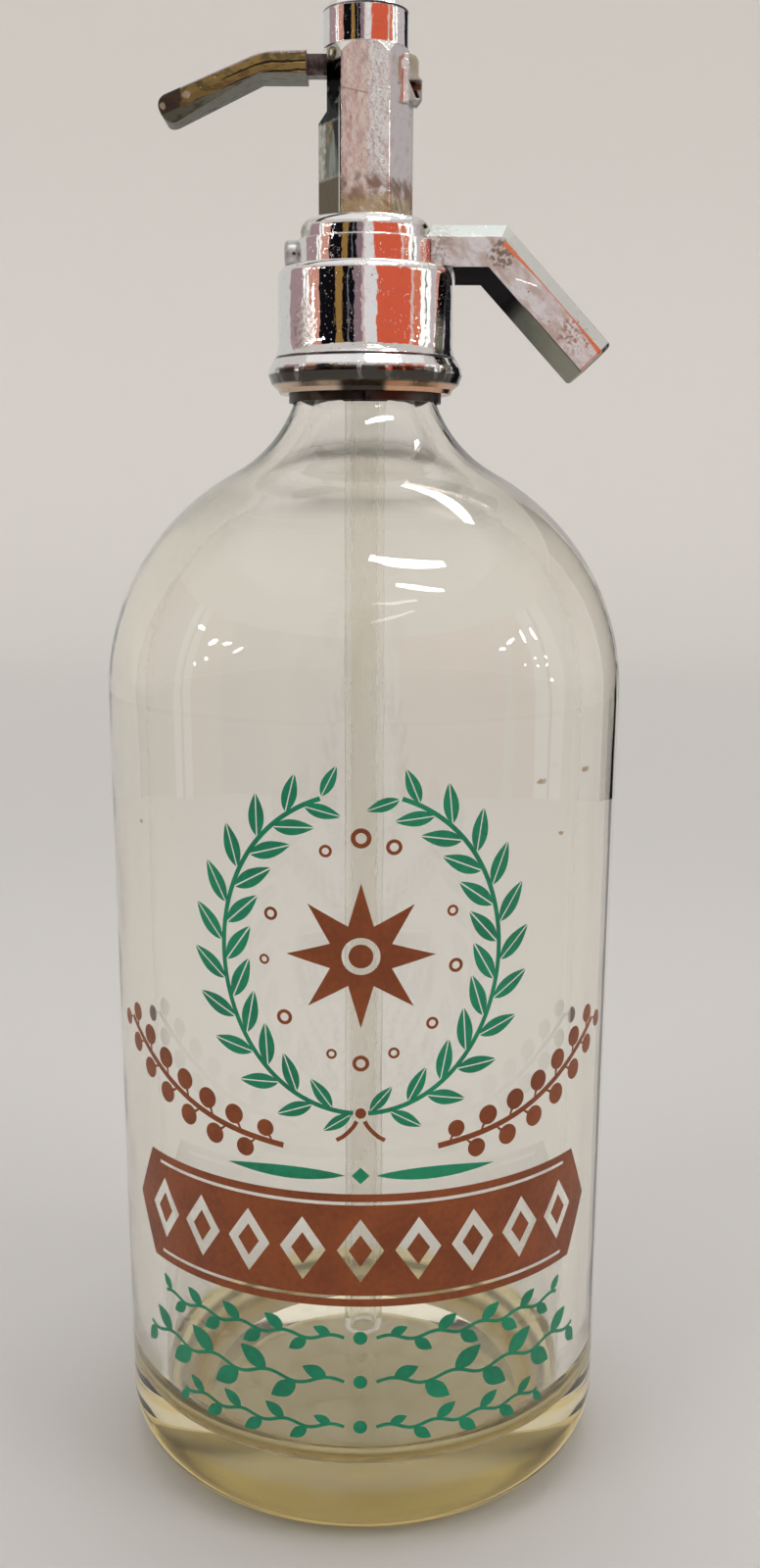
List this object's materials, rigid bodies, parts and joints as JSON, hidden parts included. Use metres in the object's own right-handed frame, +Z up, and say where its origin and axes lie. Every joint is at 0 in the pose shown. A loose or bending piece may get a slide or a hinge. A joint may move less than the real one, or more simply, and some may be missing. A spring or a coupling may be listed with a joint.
{
  "type": "soda siphon",
  "caption": "Thick glass bottle with a bright metal head, a side spout and a thumb lever that opens a spring valve to dispense soda water.",
  "frame": {"origin": "centre of the bottle's foot, on the surface it stands on", "axes": "+Z up the bottle's axis, +X towards the spout, lever towards -X, printed side towards -Y"},
  "size_m": [0.108, 0.108, 0.3041],
  "materials": {
    "clear_glass": "thick, clear and glossy, with a faint straw tint",
    "head_chrome": "bright plate, pitted and stained with age",
    "lever_metal": "dull plate worn through to brass",
    "dark_ring": "dull, tarnished almost black",
    "brass": "machined, lightly tarnished",
    "spring_steel": "bright drawn wire",
    "black_rubber": "dull black",
    "red_fibre": "pressed vulcanised fibre",
    "flax_packing": "greased braid",
    "green_enamel": "fired enamel print, slightly worn",
    "brown_enamel": "fired enamel print, slightly worn",
    "clouded_tube": "clouded by lime"
  },
  "bodies": {
    "siphon": {"glass_bottle": "clear_glass", "split_ring_half_left": "dark_ring", "split_ring_half_right": "dark_ring", "neck_ring": "head_chrome", "coupling_collar": "head_chrome", "mouth_gasket": "black_rubber", "head_body": "head_chrome", "spout": "head_chrome", "cross_bore_plug": "head_chrome", "top_cap": "head_chrome", "cap_washer": "red_fibre", "cap_lock_screw": "head_chrome", "fulcrum_pin": "head_chrome", "spring_seat": "brass", "return_spring": "spring_steel", "gland_nut": "brass", "packing_ring": "flax_packing", "valve_seat": "brass", "tube_ferrule": "black_rubber", "dip_tube": "clouded_tube"},
    "lever": {"lever": "lever_metal"},
    "stem": {"valve_stem": "brass", "spring_cap": "brass", "valve_washer": "black_rubber", "washer_cup": "brass", "cup_nut": "brass"}
  },
  "joints": [
    {"name": "lever_press", "type": "hinge", "parent": "siphon", "child": "lever", "pos_m": [0.0078, 0, 0.293], "axis": [0, -1, 0], "range_deg": [0, 16], "stiffness_Nm_per_rad": 0.169, "springref_deg": -30.54},
    {"name": "stem_slide", "type": "slide", "parent": "siphon", "child": "stem", "axis": [0, 0, -1], "range_m": [0, 0.0022], "deforming": ["return_spring"]}
  ],
  "couplings": [
    {"joint": "stem_slide", "follows": "lever_press", "m_per_rad": 0.0075}
  ]
}
